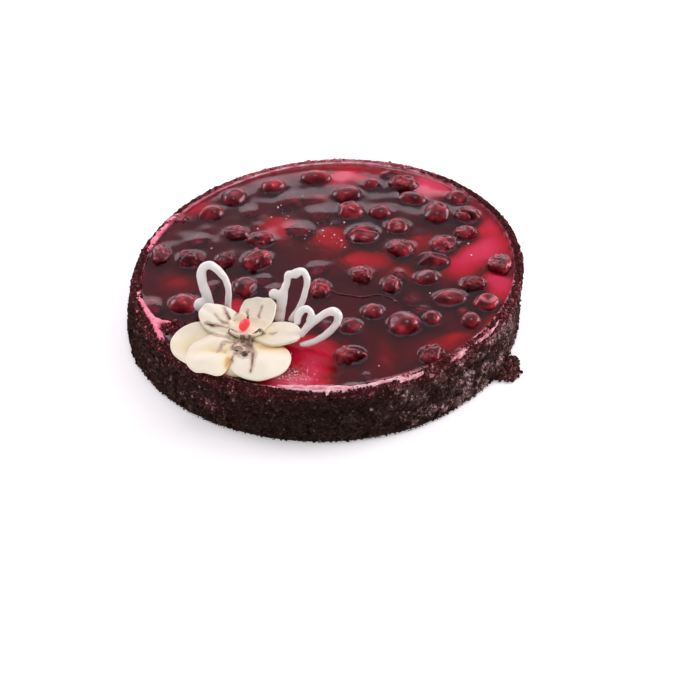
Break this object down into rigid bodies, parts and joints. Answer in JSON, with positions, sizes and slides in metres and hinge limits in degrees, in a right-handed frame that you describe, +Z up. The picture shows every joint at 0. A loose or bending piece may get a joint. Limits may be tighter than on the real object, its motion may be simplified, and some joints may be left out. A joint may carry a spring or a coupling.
{
  "type": "yogurt cake",
  "caption": "Round uncut yogurt cake with a dark crumb-coated side, a cherry jelly top with cherries standing out of it, and a cream flower with white loops near its front edge.",
  "frame": {"origin": "middle of the cake's round foot, on the surface it stands on", "axes": "+Z up, -Y towards the side with the cream flower in front, +X to the right of that view"},
  "size_m": [0.2318, 0.2332, 0.0693],
  "materials": {
    "crumb": "dry dark crumbs",
    "jelly": "clear, wet gloss",
    "fruit": "glazed dark red",
    "cream": "soft satin cream",
    "bead": "glossy red",
    "white": "soft satin white"
  },
  "bodies": {
    "root": {"cake_body": "crumb", "jelly": "jelly", "cherry_smooth_01": "fruit", "cherry_smooth_02": "fruit", "cherry_smooth_03": "fruit", "cherry_smooth_04": "fruit", "cherry_smooth_05": "fruit", "cherry_smooth_06": "fruit", "cherry_smooth_07": "fruit", "cherry_smooth_08": "fruit", "cherry_smooth_09": "fruit", "cherry_smooth_10": "fruit", "cherry_smooth_11": "fruit", "cherry_smooth_12": "fruit", "cherry_smooth_13": "fruit", "cherry_smooth_14": "fruit", "cherry_smooth_15": "fruit", "cherry_smooth_16": "fruit", "cherry_smooth_17": "fruit", "cherry_pitted_01": "fruit", "cherry_pitted_02": "fruit", "cherry_pitted_03": "fruit", "cherry_pitted_04": "fruit", "cherry_wrinkled_01": "fruit", "cherry_wrinkled_02": "fruit", "cherry_wrinkled_03": "fruit", "cherry_wrinkled_04": "fruit", "cherry_wrinkled_05": "fruit", "cherry_wrinkled_06": "fruit", "cherry_wrinkled_07": "fruit", "cherry_wrinkled_08": "fruit", "cherry_wrinkled_09": "fruit", "cherry_wrinkled_10": "fruit", "cherry_folded_01": "fruit", "cherry_folded_02": "fruit", "cherry_folded_03": "fruit", "cherry_folded_04": "fruit", "cherry_folded_05": "fruit", "cherry_crushed_01": "fruit", "cherry_crushed_02": "fruit", "cherry_crushed_03": "fruit", "cherry_crushed_04": "fruit", "cherry_crushed_05": "fruit", "cherry_crushed_06": "fruit", "petal_front": "cream", "petal_left": "cream", "petal_front_left": "cream", "petal_right": "cream", "petal_back_left": "cream", "petal_back": "cream", "flower_cup": "cream", "red_bead": "bead", "loop_left": "white", "loop_middle": "white", "loop_right": "white"}
  },
  "joints": []
}
